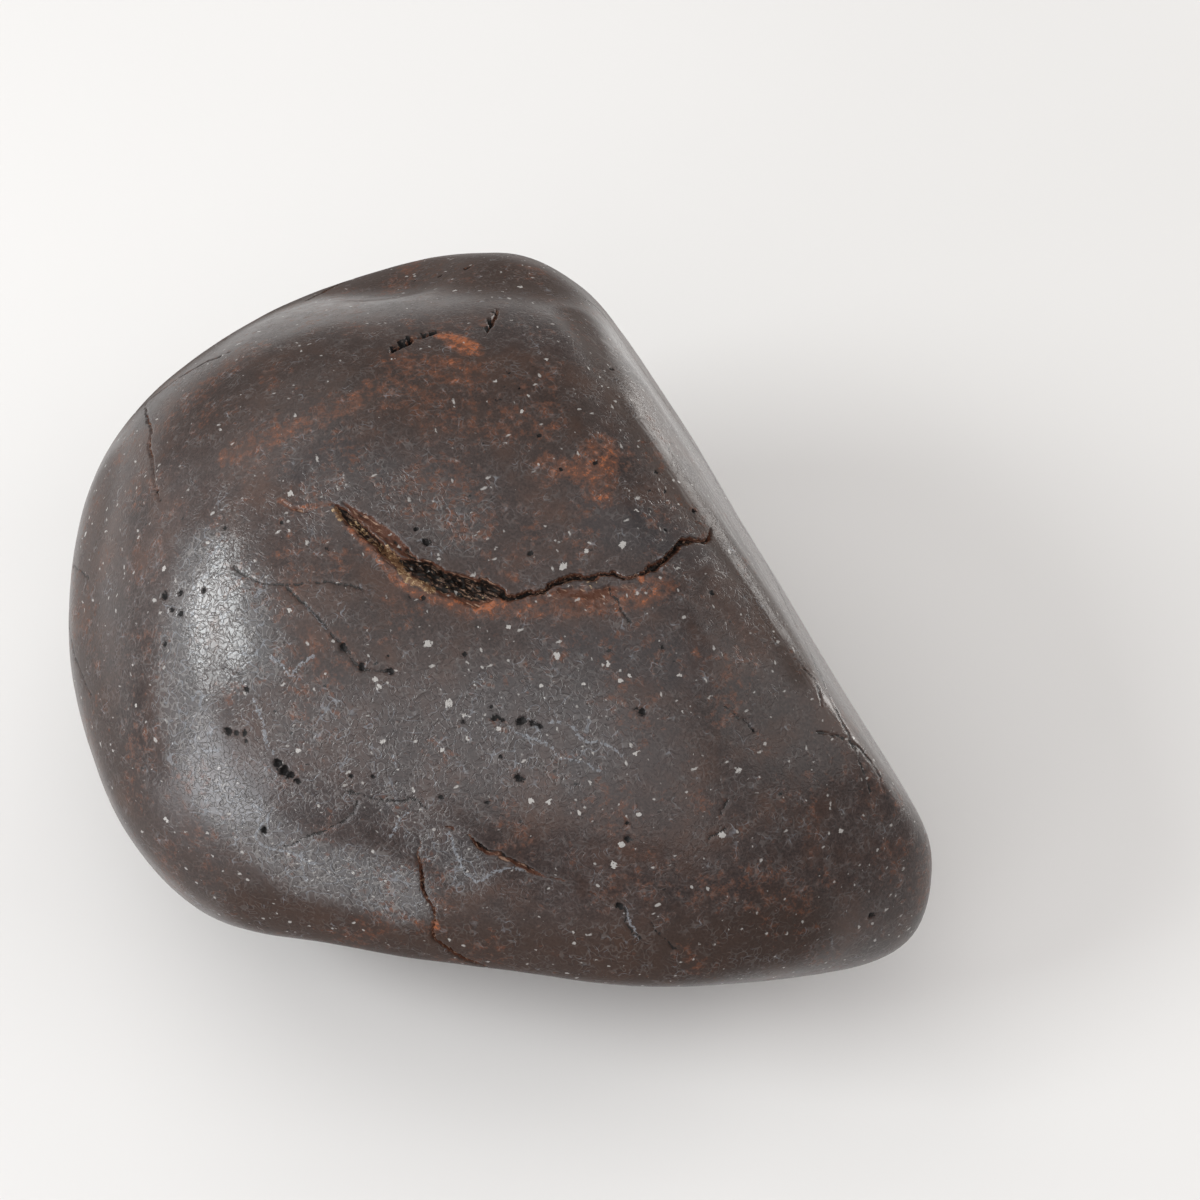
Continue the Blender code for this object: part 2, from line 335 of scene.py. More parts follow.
# Patches of colour and of gloss: pixels along the patch's middle, its reach from there, and its strength.
PATCH_EDGE = 1.4  # above 1, a patch keeps its whole strength some way out from its middle
PATCHES = {
    "rust": (
        (((440, 334), (458, 338), (475, 347)), 0.70, 1.0),
        (((450, 343), (464, 350), (478, 352)), 0.60, 0.95),
        (((450, 362), (456, 365)), 0.50, 0.9),
        (((400, 362), (470, 374)), 1.8, 0.60),
        (((545, 462), (568, 468)), 1.0, 0.70),
        (((580, 470), (605, 445), (600, 492)), 1.4, 0.72),
        (((420, 490), (452, 484), (470, 520)), 2.6, 0.52),
        (((230, 455), (300, 425), (345, 405), (400, 375)), 1.3, 0.60),
        (((400, 395), (480, 420), (540, 420)), 2.4, 0.46),
        (((190, 400), (250, 350)), 2.2, 0.46),
        (((470, 604), (518, 606), (560, 602), (620, 600), (664, 584)), 1.3, 0.66),
        (((478, 608), (502, 602)), 0.5, 1.0),
        (((350, 524), (384, 562), (404, 586), (440, 600), (480, 606)), 0.45, 0.8),
        (((281, 500), (300, 508), (330, 503)), 0.30, 0.8),
        (((640, 578), (642, 580)), 0.35, 1.0),
        (((352, 455), (356, 458)), 0.5, 0.6),
        (((695, 650), (697, 652)), 0.35, 0.9),
        (((605, 655), (607, 657)), 0.35, 0.7),
        (((700, 892), (760, 880), (800, 900)), 2.2, 0.40),
        (((435, 923), (437, 927)), 0.35, 1.0),
        (((385, 905), (430, 930)), 0.6, 0.6),
        (((86, 600), (98, 660)), 1.6, 0.35),
        (((160, 430), (230, 350), (300, 310)), 1.8, 0.30),
    ),
    "crumbs": (
        (((336, 509), (341, 518)), 0.28, 1.0),
        (((352, 520), (366, 531)), 0.35, 0.7),
        (((372, 538), (386, 549)), 0.30, 0.8),
        (((386, 549), (400, 563), (407, 577), (420, 583), (432, 588)), 0.42, 1.0),
        (((440, 578), (460, 590), (480, 596)), 0.40, 0.45),
        (((570, 582), (600, 584)), 0.45, 0.5),
    ),
    "cool": (
        (((605, 520), (690, 545)), 1.9, 0.8),
        (((560, 650), (690, 665)), 2.2, 0.6),
        (((300, 470), (340, 450)), 1.5, 0.5),
        (((500, 700), (640, 760)), 3.0, 0.4),
    ),
    # Polished patches: more gloss and worms, and a grey that is partly a painted sheen of the window.
    "polish_and_sheen": (
        (
            ((205, 560), (186, 640), (182, 700), (206, 770), (242, 815), (300, 862), (360, 880), (400, 895)),
            2.4,
            1.0,
        ),
        (((240, 600), (250, 660)), 2.4, 0.9),
        (((224, 788), (240, 810)), 1.1, 1.5),
        (((400, 800), (470, 870)), 1.8, 0.5),
        (((330, 500), (400, 490), (450, 520)), 2.8, 0.30),
        (((300, 760), (430, 740), (560, 730)), 5.0, 0.34),
    ),
    # Duller patches: rougher, with less coat, and browner and darker; along the bottom front band and under
    # the stone that darkening is painted shade.
    "dull_and_shade": (
        (((150, 385), (200, 345), (280, 302), (360, 280), (440, 270), (530, 282)), 4.6, 1.0),
        (((105, 480), (86, 600), (100, 720), (155, 840), (235, 905)), 2.6, 0.5),
        # the bottom front band, darkened as painted shade
        (((260, 915), (380, 940), (520, 955), (660, 960), (790, 935)), 3.6, 1.0),
        (((575, 315), (622, 395), (670, 469), (722, 540), (765, 600), (800, 665)), 1.7, 0.95),
        (((230, 400), (340, 360), (450, 380), (540, 400)), 5.5, 0.55),
    ),
}
HIDDEN_PATCHES = {
    "rust": (
        (((110, 24), (100, 10)), 1.6, 0.5),
        (((75, -8), (88, -16)), 1.3, 0.7),
        (((60, 22), (48, 14)), 2.2, 0.4),
        (((184, -8), (186, -26)), 1.2, 0.6),
        (((330, -27), (316, -34)), 1.2, 0.5),
        (((150, 10), (140, -4)), 2.4, 0.35),
        (((20, -20), (40, -30)), 2.0, 0.35),
    ),
    "cool": (
        (((30, 10), (10, 0)), 3.0, 0.5),
        (((120, -10), (140, -20)), 3.0, 0.4),
    ),
    # polished, with a grey that is partly a painted sheen
    "polish_and_sheen": ((((170, 0), (186, -10)), 2.4, 0.5),),
    "crumbs": (),
    "dull_and_shade": (
        (((60, 10), (90, 20), (120, 8)), 7.0, 0.6),
        # under the stone, darkened as painted shade
        (((200, -40), (250, -60), (310, -40)), 6.0, 0.6),
    ),
}

# Random values on a lattice, which the noise below is read from.
LATTICE_SIDE = 48
LATTICE_LAYERS = 4
LATTICE = np.random.default_rng(7).random((LATTICE_LAYERS,) + (LATTICE_SIDE,) * 3)
LATTICE_OFFSET = 1000.0  # keeps every place on the lattice above zero


def unit(rows):
    return rows / np.linalg.norm(rows, axis=-1, keepdims=True)


def direction(azimuth, elevation):
    """The unit vector at this azimuth and elevation in degrees. Arrays of both give rows."""
    turn = np.radians(azimuth)
    rise = np.radians(elevation)
    return np.stack((np.cos(rise) * np.cos(turn), np.cos(rise) * np.sin(turn), np.sin(rise)), axis=-1)


def smooth(share):
    """0 below 0, 1 above 1, and an even rise between."""
    share = np.clip(share, 0.0, 1.0)
    return share * share * (3.0 - 2.0 * share)


def noise(points, size, layer=0):
    """Random values from 0 to 1 that change smoothly over about this size."""
    place = points / size + LATTICE_OFFSET
    cell = np.floor(place).astype(int)
    part = smooth(place - cell)
    total = np.zeros(len(points))
    for corner in itertools.product((0, 1), repeat=3):
        weight = np.prod(np.where(corner, part, 1.0 - part), axis=1)
        x, y, z = ((cell + corner) % LATTICE_SIDE).T
        total += weight * LATTICE[layer, x, y, z]
    return total


def wandered(points):
    """The points moved about a little, so that what is measured from them has ragged edges."""
    moved = points.copy()
    for size, amount in WANDER:
        for axis in range(3):
            moved[:, axis] += amount * (noise(points, size, axis) - 0.5)
    return moved


def shares_of(towards, faces):
    """How near each ray of unit length comes to each face, in 1/mm: 0 where it points away from it."""
    azimuths, elevations, distances = np.array(faces, float).T
    return np.maximum(towards @ (direction(azimuths, elevations) / distances[:, None]).T, 0.0)


def face_shares(towards):
    """How strongly the body's faces, and the crest's, hold the surface in, for unit directions."""
    body = (shares_of(towards, list(WORN_FACES.values())) ** BODY_SHARPNESS).sum(axis=-1)
    crest = shares_of(towards, [CREST_FACE])[..., 0] ** CREST_SHARPNESS
    return body ** (CREST_SHARPNESS / BODY_SHARPNESS), crest


def solid_reach(towards):
    """Distances from the heart to the solid's surface."""
    reached = sum(face_shares(towards)) ** (-1.0 / CREST_SHARPNESS)
    for azimuth, elevation, height, spread in SWELLS.values():
        angle = np.degrees(np.arccos(np.clip(towards @ direction(azimuth, elevation), -1.0, 1.0)))
        reached += height * np.exp(-((angle / spread) ** 2))
    return reached


def icosahedron():
    """The directions of its twelve corners, which lie evenly all round."""
    golden = 0.5 * (1.0 + math.sqrt(5.0))
    corners = [(0.0, first, second * golden) for first in (-1.0, 1.0) for second in (-1.0, 1.0)]
    return unit(np.array([np.roll(corner, shift) for corner in corners for shift in range(3)]))


def reach(towards):
    """Distances from the heart to the visible surface."""
    reached = solid_reach(towards)
    share = smooth((towards @ direction(*ROUNDED_ABOUT) - ROUNDED_FROM) / (ROUNDED_WHOLE - ROUNDED_FROM))
    here = share > 0.0
    around = [solid_reach(unit(towards[here] + ROUNDING * lean)) for lean in icosahedron()]
    reached[here] += share[here] * (np.mean(around, axis=0) - reached[here])
    return reached


def on_surface(points):
    """The points of the worn surface on the rays from the heart through these points."""
    towards = unit(points)
    return towards * reach(towards)[:, None]


def heart_place():
    """The heart, where it puts the middle of the stone's box over the origin, as the solid's is."""
    azimuths, elevations = np.meshgrid(BOX_TURNS, BOX_RISES)
    surface = on_surface(direction(azimuths.ravel(), elevations.ravel()))
    middle = 0.5 * (surface.min(axis=0) + surface.max(axis=0))
    return np.array((-middle[0], -middle[1], HEART_HEIGHT))


def seen_at(pixels, heart):
    """The points of the surface that the photograph shows at these pixels."""
    across, down = (np.array(pixels, float).T[:, :, None] - 0.5 * PHOTO_PIXELS) / FOCAL_PIXELS
    forward = np.array((0.0, math.sin(CAMERA_TILT), -math.cos(CAMERA_TILT)))
    right = np.array((1.0, 0.0, 0.0))
    up = np.array((0.0, math.cos(CAMERA_TILT), math.sin(CAMERA_TILT)))
    sights = unit(forward + across * right - down * up)
    places = CAMERA_PLACE - heart + SIGHT_STEPS[:, None] * sights[:, None]
    heights = np.linalg.norm(places, axis=-1) - reach(unit(places))
    every = np.arange(len(sights))
    hit = heights.min(axis=1) < 0.0
    under = np.where(hit, np.argmax(heights < 0.0, axis=1), heights.argmin(axis=1))
    over = under - hit
    drop = heights[every, over] - heights[every, under]
    share = np.divide(heights[every, over], drop, out=np.zeros(len(every)), where=hit)[:, None]
    return on_surface(places[every, over] * (1.0 - share) + places[every, under] * share)


def smoothed(rows, steps=4):
    """More rows along a smooth curve through these rows, for every column alike."""
    rows = np.array(rows, float)
    ends = np.vstack((2.0 * rows[0] - rows[1], rows, 2.0 * rows[-1] - rows[-2]))
    made = []
    for before, start, end, after in zip(ends, ends[1:], ends[2:], ends[3:]):
        for share in np.arange(steps) / steps:
            bend = (2.0 * before - 5.0 * start + 4.0 * end - after) * share**2
            twist = (3.0 * (start - end) + after - before) * share**3
            made.append(start + 0.5 * ((end - before) * share + bend + twist))
    return np.array(made + [rows[-1]])


def place_line(rows, heart, hidden):
    """Surface points along a route of pixels, or of azimuths and elevations, and its other columns."""
    rows = smoothed(rows)
    if hidden:
        points = on_surface(direction(rows[:, 0], rows[:, 1]))
    else:
        points = seen_at(rows[:, :2], heart)
    return points, rows[:, 2:]


def placed(routes, hidden_routes, heart):
    """All routes of both kinds as (points, other columns)."""
    lines = [place_line(rows, heart, False) for rows in routes.values()]
    return lines + [place_line(rows, heart, True) for rows in hidden_routes.values()]


def placed_spots(groups, hidden_groups, heart):
    """All spots of both kinds as (point, *other columns)."""
    rows = np.vstack(list(groups.values()))
    hidden_rows = np.vstack(list(hidden_groups.values()))
    points = np.vstack((seen_at(rows[:, :2], heart), on_surface(direction(*hidden_rows[:, :2].T))))
    return list(zip(points, *np.vstack((rows, hidden_rows))[:, 2:].T))


def beside(points, line):
    """How far each point is from the line, if it is on the line's left, and how far along the line it is."""
    nearest = np.full(len(points), np.inf)
    left = np.zeros(len(points), bool)
    along = np.zeros(len(points))
    run = 0.0
    for start, end in zip(line, line[1:]):
        span = end - start
        length = np.linalg.norm(span)
        share = np.clip((points - start) @ span / length**2, 0.0, 1.0)
        gap = points - start - share[:, None] * span
        distance = np.linalg.norm(gap, axis=1)
        nearer = distance < nearest
        nearest[nearer] = distance[nearer]
        left[nearer] = (gap @ np.cross(start, span))[nearer] > 0.0
        along[nearer] = run + share[nearer] * length
        run += length
    return nearest, left, along


def runs(line):
    """How far along the line each of its points is."""
    return np.concatenate(((0.0,), np.cumsum(np.linalg.norm(np.diff(line, axis=0), axis=1))))


def near(points, line, margin):
    """Which points lie in the line's box, widened by a margin."""
    return np.all((points > line.min(axis=0) - margin) & (points < line.max(axis=0) + margin), axis=1)


class Features:
    """Every crack, pit and patch, placed on the surface."""

    def __init__(self, heart):
        self.fissures = placed(FISSURES, HIDDEN_FISSURES, heart)
        self.hairlines = placed(HAIRLINES, HIDDEN_HAIRLINES, heart)
        self.veins = placed(VEINS, HIDDEN_VEINS, heart)
        self.pits = placed_spots(PITS, HIDDEN_PITS, heart)
        self.flecks = placed_spots(FLECKS, HIDDEN_FLECKS, heart)
        self.patches = {}
        for name, patches in PATCHES.items():
            placed_here = [(place_line(rows, heart, False)[0], *rest) for rows, *rest in patches]
            placed_there = [(place_line(rows, heart, True)[0], *rest) for rows, *rest in HIDDEN_PATCHES[name]]
            self.patches[name] = placed_here + placed_there


def wanted_edge(points, features):
    """The edge length that the mesh needs at each point."""
    bands = [(line, columns[:, 0].max() + FINE_EDGE, FINE_EDGE) for line, columns in features.fissures]
    bands += [(line, HAIRLINE_WIDTH, FINE_EDGE) for line, _ in features.hairlines]
    bands += [(line, VEIN_WIDTH, SPOT_EDGE) for line, _ in features.veins]
    bands += [(np.array((spot[0], spot[0] + FINE_EDGE)), spot[1], SPOT_EDGE) for spot in features.pits]
    bands += [(np.array((spot[0], spot[0] + FINE_EDGE)), spot[1], SPOT_EDGE) for spot in features.flecks]
    wanted = np.full(len(points), COARSE_EDGE)
    for line, band, edge in bands:
        close = near(points, line, band + COARSE_EDGE / EDGE_GROWTH)
        clear = np.maximum(beside(points[close], line)[0] - band, 0.0)
        wanted[close] = np.minimum(wanted[close], edge + EDGE_GROWTH * clear)
    return wanted


def divided_ball(features):
    """Unit directions and triangles of a ball that is divided finely where the surface will have detail."""
    ball = bmesh.new()
    bmesh.ops.create_icosphere(ball, subdivisions=BALL_SUBDIVISIONS, radius=1.0)
    for _ in range(REFINING_PASSES):
        ball.verts.index_update()
        surface = on_surface(np.array([vertex.co for vertex in ball.verts]))
        wanted = wanted_edge(surface, features)
        ends = np.array([[vertex.index for vertex in edge.verts] for edge in ball.edges])
        lengths = np.linalg.norm(surface[ends[:, 0]] - surface[ends[:, 1]], axis=1)
        too_long = lengths > wanted[ends].min(axis=1)
        bmesh.ops.subdivide_edges(ball, edges=list(itertools.compress(ball.edges, too_long)), cuts=1)
        bmesh.ops.triangulate(ball, faces=[face for face in ball.faces if len(face.verts) > 3])
    ball.verts.index_update()
    directions = unit(np.array([vertex.co for vertex in ball.verts]))
    triangles = np.array([[vertex.index for vertex in face.verts] for face in ball.faces])
    ball.free()
    return directions, triangles


def normals_of(points, triangles):
    """The surface's outward unit normal at each point."""
    corners = points[triangles]
    flat = np.cross(corners[:, 1] - corners[:, 0], corners[:, 2] - corners[:, 0])
    summed = np.zeros_like(points)
    for corner in range(3):
        np.add.at(summed, triangles[:, corner], flat)
    return unit(summed)


def fissure_depth(points, line, widths, depths):
    """How deep one fissure cuts at each point: a steep wall under the upper lip, then a rough slope up."""
    distance, left, along = beside(points, line)
    width = np.interp(along, runs(line), widths)
    depth = np.interp(along, runs(line), depths)
    across = np.where(left, -distance, distance) / width
    wall = smooth(across / STEEP_SHARE)
    slope = np.clip((1.0 - across) / (1.0 - FLOOR_SHARE), 0.0, 1.0)
    fibres = noise(np.stack((along / GRAIN_LENGTH, distance, distance), axis=1), GRAIN_WIDTH, 1)
    grains = noise(points, GRAIN_WIDTH, 2)
    wide = WIDE_FIBRES * fibres + WIDE_GRAINS * grains
    filled = GRAIN_SHARE * np.where(width > WIDE_FISSURE, wide, NARROW_GRAINS * grains)
    return depth * wall * slope * (1.0 - filled)


def carved(surface, ragged, features):
    """The depth cut into the surface at each point, and how deep a fissure is there as a share from 0 to 1,
    by which the material colours its slopes and paints shade in its depth.
    """
    depth = np.zeros(len(surface))
    for line, columns in features.fissures:
        close = near(surface, line, FISSURE_REACH)
        cut = fissure_depth(ragged[close], line, *columns.T)
        depth[close] = np.maximum(depth[close], cut)
    dark = smooth(depth / OPEN_DEPTH)
    for line, _ in features.hairlines:
        close = near(surface, line, HAIRLINE_REACH)
        distance = beside(ragged[close], line)[0]
        share = np.clip(1.0 - distance / HAIRLINE_WIDTH, 0.0, 1.0)
        depth[close] = np.maximum(depth[close], HAIRLINE_DEPTH * share)
    for place, radius, pit_depth in features.pits:
        share = np.clip(1.0 - np.linalg.norm(ragged - place, axis=1) / radius, 0.0, 1.0)
        depth = np.maximum(depth, pit_depth * smooth(PIT_STEEPNESS * share))
    return depth, dark


def closeness_to_spots(ragged, spots):
    """1 at the middle of the nearest spot, a half at its radius, and 0 from twice that."""
    share = np.zeros(len(ragged))
    for place, radius, *_ in spots:
        share = np.maximum(share, 1.0 - 0.5 * np.linalg.norm(ragged - place, axis=1) / radius)
    return share


def closeness_to_lines(ragged, lines):
    """1 on the nearest line, and 0 from LINE_REACH beside it."""
    share = np.zeros(len(ragged))
    for line, _ in lines:
        close = near(ragged, line, LINE_REACH)
        share[close] = np.maximum(share[close], 1.0 - beside(ragged[close], line)[0] / LINE_REACH)
    return share


def facet_share(directions):
    """How much of the long straight facet each direction meets, from 0 to 1."""
    body, crest = face_shares(directions)
    return crest / (body + crest)


def patch_strength(surface, patches):
    """How strongly each point has one kind of patch, from 0 to 1."""
    strength = np.zeros(len(surface))
    for line, spread, most in patches:
        close = near(surface, line, spread)
        share = smooth(PATCH_EDGE - PATCH_EDGE * beside(surface[close], line)[0] / spread)
        strength[close] = np.maximum(strength[close], most * share)
    return strength


def uneven(surface):
    """The low waves that tumbling leaves, inwards from the worn surface."""
    height = np.zeros(len(surface))
    for layer, (size, amount) in enumerate(UNEVENNESS):
        height += amount * noise(surface, size, layer)
    return height


def settled(points, heart):
    """The points from the origin, with what would reach below the floor drawn up its ray onto it."""
    low = points[:, 2] < -heart[2]
    points[low] *= (-heart[2] / points[low, 2])[:, None]
    return points + heart


def fitted(points, lowest, highest):
    """The points scaled to the solid's box, which they miss by a few hundredths of a millimetre."""
    own_low = points.min(axis=0)
    own_high = points.max(axis=0)
    return lowest + (points - own_low) * (highest - lowest) / (own_high - own_low)


def surface_mesh(lowest, highest):
    """The stone's visible surface, with what its material needs to know at each point."""
    heart = heart_place()
    features = Features(heart)
    directions, triangles = divided_ball(features)
    surface = directions * reach(directions)[:, None]
    ragged = wandered(surface)
    depth, dark = carved(surface, ragged, features)
    points = surface - normals_of(surface, triangles) * (depth + uneven(surface))[:, None]
    points = fitted(settled(points, heart), lowest, highest)
    mesh = bpy.data.meshes.new("meteorite_surface")
    mesh.from_pydata((points * MM).tolist(), [], triangles.tolist())
    add_values(mesh, "dark", dark)
    add_values(mesh, "pit", closeness_to_spots(ragged, features.pits))
    add_values(mesh, "fleck", closeness_to_spots(ragged, features.flecks))
    add_values(mesh, "hairline", closeness_to_lines(ragged, features.hairlines))
    add_values(mesh, "vein", closeness_to_lines(ragged, features.veins))
    add_values(mesh, "facet", facet_share(directions))
    for name, patches in features.patches.items():
        add_values(mesh, name, patch_strength(surface, patches))
    mesh.shade_smooth()
    return mesh


def add_values(mesh, name, values):
    attribute = mesh.attributes.new(name, "FLOAT", "POINT")
    attribute.data.foreach_set("value", values.astype(np.float32))


class Graph:
    """A material's nodes. An input that is given another node's output is linked to it, any other is set."""

    def __init__(self, name):
        self.material = bpy.data.materials.new(name)
        self.material.use_nodes = True
        self.tree = self.material.node_tree
        self.tree.nodes.clear()

    def add(self, kind, inputs, output=0, **settings):
        """Adds one node and gives this output of it. The inputs' keys are its sockets' names or numbers."""
        node = self.tree.nodes.new("ShaderNode" + kind)
        for name, value in settings.items():
            setattr(node, name, value)
        for key, value in inputs.items():
            if isinstance(value, bpy.types.NodeSocket):
                self.tree.links.new(value, node.inputs[key])
            else:
                node.inputs[key].default_value = value
        return node.outputs[output] if node.outputs else None

    def math(self, operation, *values, clamp=False):
        return self.add("Math", dict(enumerate(values)), operation=operation, use_clamp=clamp)

    def times(self, value, factor):
        return self.math("MULTIPLY", value, factor)

    def times_plus(self, value, factor, added):
        return self.math("MULTIPLY_ADD", value, factor, added)

    def blend(self, share, first, second):
        """The first colour where the share is 0, and the second where it is 1."""
        return self.add("Mix", {0: share, 6: first, 7: second}, output=2, data_type="RGBA")

    def spread(self, value, low, high, to_low=0.0, to_high=1.0):
        """The value's smooth rise from low to high, as a rise from to_low to to_high."""
        inputs = {"Value": value, 1: low, 2: high, 3: to_low, 4: to_high}
        return self.add("MapRange", inputs, interpolation_type="SMOOTHSTEP")

    def noise(self, where, size, detail, roughness=0.5, output=0):
        inputs = {"Vector": where, "Scale": 1.0 / size, "Detail": detail, "Roughness": roughness}
        return self.add("TexNoise", inputs, output=output)

    def value(self, name):
        """What the mesh says of this name at the point."""
        return self.add("Attribute", {}, output=2, attribute_name=name)


def millimetres(graph):
    """The point's place on the object, in millimetres."""
    place = graph.add("TexCoord", {}, output=3)
    return graph.add("VectorMath", {0: place, "Scale": 1.0 / MM}, operation="SCALE")


def warped(graph, where, size, amount):
    """The place moved about by noise of this size, so that round shapes become ragged."""
    shift = graph.noise(where, size, detail=1.0, output=1)
    centred = graph.add("VectorMath", {0: shift, 1: (0.5, 0.5, 0.5)}, operation="SUBTRACT")
    scaled = graph.add("VectorMath", {0: centred, "Scale": amount}, operation="SCALE")
    return graph.add("VectorMath", {0: where, 1: scaled}, operation="ADD")


def specks(graph, where, spacing, share, smallest, largest):
    """Scattered specks: a share of the cells of this spacing hold one, with a radius in cells."""
    node = graph.tree.nodes.new("ShaderNodeTexVoronoi")
    graph.tree.links.new(where, node.inputs["Vector"])
    node.inputs["Scale"].default_value = 1.0 / spacing
    chance = graph.add("SeparateColor", {0: node.outputs["Color"]})
    radius = graph.add("MapRange", {"Value": chance, 1: 1.0 - share, 2: 1.0, 3: smallest, 4: largest})
    held = graph.math("GREATER_THAN", chance, 1.0 - share)
    inside = graph.math("SUBTRACT", radius, node.outputs["Distance"])
    edge = graph.math("MULTIPLY", inside, 1.0 / (SPECK_EDGE * largest), clamp=True)
    return graph.times(edge, held)


# The stone's colours, from its ground up.
GROUND_DARK = (0.015, 0.0085, 0.0075, 1.0)
GROUND_PALE = (0.056, 0.037, 0.033, 1.0)
WARM_CLOUD = (0.064, 0.028, 0.016, 1.0)
COOL_CLOUD = (0.030, 0.031, 0.036, 1.0)
# the brown of duller patches, which on the bottom front band and under the stone is painted shade
DULL_BROWN_AND_SHADE = (0.034, 0.016, 0.009, 1.0)
# the grey of polished patches, partly a painted sheen
GREY_AND_PAINTED_SHEEN = (0.105, 0.106, 0.112, 1.0)
RUST_BROWN = (0.105, 0.039, 0.020, 1.0)
RUST_ORANGE = (0.30, 0.088, 0.028, 1.0)
WORM_GREY = (0.170, 0.160, 0.155, 1.0)
# the pale blue of veins and curls, partly painted glints of the window
VEIN_AND_GLINT_BLUE = (0.20, 0.215, 0.24, 1.0)
IRON_WHITE = (0.36, 0.345, 0.33, 1.0)
PIT_BLACK = (0.004, 0.003, 0.003, 1.0)
HAIRLINE_BROWN = (0.009, 0.006, 0.005, 1.0)
FISSURE_BROWN = (0.075, 0.027, 0.014, 1.0)
FISSURE_GREY = (0.28, 0.175, 0.120, 1.0)
# black painted shade deep in the fissures
FISSURE_SHADE_BLACK = (0.005, 0.004, 0.003, 1.0)
CRUMB_TAN = (0.15, 0.075, 0.035, 1.0)
CRUMB_GOLD = (0.42, 0.30, 0.17, 1.0)
SPECULAR = 0.32  # one value all over, as the coat's roughness is
COAT_WEIGHT = 0.40
COAT_ROUGHNESS = 0.12
RELIEF_STRENGTH = 0.6
RELIEF_HEIGHT = 0.05  # what a height of 1 stands for
FLECK_RUNS = ((0.9, 0.4, 0.1), (-0.3, 0.9, 0.2), (0.5, -0.6, 0.6))  # the directions that they lie in
FIBRE_RUN = (0.85, -0.5, -0.2)
FLECK_LENGTH = 2.4  # how many times longer than wide they are
PIT_LENGTH = 1.8
STREAK_LENGTH = 14.0

# Scattered specks: the cells' size, the share that hold one, and its least and greatest radius in cells.
FLECK_SPECKS = (0.36, 0.16, 0.08, 0.26)
PIT_SPECKS = (0.70, 0.16, 0.07, 0.14)
SPECK_EDGE = 0.4  # a speck's soft edge as a share of its greatest radius

# Noises: size, detail and roughness.
NOISES = {
    "clouds": (7.0, 2.0, 0.5),
    "warm_clouds": (3.0, 3.0, 0.65),
    "fine": (0.9, 3.0, 0.65),
    "grain": (0.13, 1.0, 0.6),
    "stains": (2.6, 1.0, 0.5),
    "rust": (0.45, 3.0, 0.75),
    "grooves": (0.34, 0.0, 0.5),
    "ridges": (0.30, 0.0, 0.5),
    "curls": (0.62, 0.0, 0.5),
    "streaks": (0.28, 2.0, 0.65),
    "lumps": (0.20, 2.0, 0.7),
    "fibres": (0.13, 2.0, 0.5),
}
CURLING = (0.55, 0.35)  # size and amount of the noise that bends the worms
TEARING = (0.16, 0.16)  # and of the one that makes flecks ragged

# How far away a texture is read that must not follow another one.
SHIFTS = {
    "warm_clouds": (31.0, 7.0, 3.0),
    "stains": (13.0, 2.0, 29.0),
    "grooves": (19.0, 5.0, 11.0),
    "pits": (5.0, 3.0, 9.0),
}

# The values between which each thing rises, and for some what it rises from and to.
BANDS = {
    "polish": (0.2, 0.8, 0.36, 0.50),
    "pale_ground": (0.38, 0.84),
    "warm_clouds": (0.42, 0.74, 0.0, 0.60),
    "stains": (0.38, 0.70, 0.08, 0.42),
    "rust_brown": (1.42, 1.92),
    "rust_orange": (1.90, 2.20),
    "grooves": (0.30, 0.66),
    "ridges": (0.34, 0.74),
    "curls": (0.52, 0.72),
    "veins": (0.30, 0.55),
    "pale_streaks": (0.52, 0.72),
    "dark_streaks": (0.42, 0.30),
    "grey_fibres": (0.55, 0.68),
    "slopes": (0.08, 0.40),
    "depths": (0.38, 0.72),
    "gold": (0.50, 0.68),
    "crumbs": (0.82, 1.00),
    "facet_coat": (0.7, 1.0, 0.0, 0.25),
    "no_coat": (0.3, 0.6),
}
WORM_WIDTHS = {"grooves": 0.060, "ridges": 0.085, "curls": 0.028}  # how far a noise is from its middle there
LINE_CORE = 0.3  # the share of its width over which a line is whole
MARKS = {"vein": 0.74, "fleck": 0.60, "hairline": 0.80, "pit": 0.55}  # how close to a mark its colour sets in
MARK_EDGE = 0.05
MARK_RAGGEDNESS = 0.7


def shifted(graph, where, name):
    """The place moved by one of the shifts."""
    return graph.add("VectorMath", {0: where, 1: SHIFTS[name]}, operation="ADD")


def drawn_along(graph, where, along, length):
    """The place squeezed along a direction, so that a texture is this many times longer than wide there."""
    run = graph.add("VectorMath", {0: where, 1: tuple(along)}, output=1, operation="DOT_PRODUCT")
    taken = graph.times(run, 1.0 - 1.0 / length)
    back = graph.add("VectorMath", {0: tuple(along), "Scale": taken}, operation="SCALE")
    return graph.add("VectorMath", {0: where, 1: back}, operation="SUBTRACT")


def lines_of(graph, value, half_width):
    """Thin lines where a noise crosses its middle."""
    off = graph.math("ABSOLUTE", graph.math("SUBTRACT", value, 0.5))
    return graph.spread(off, LINE_CORE * half_width, half_width, 1.0, 0.0)


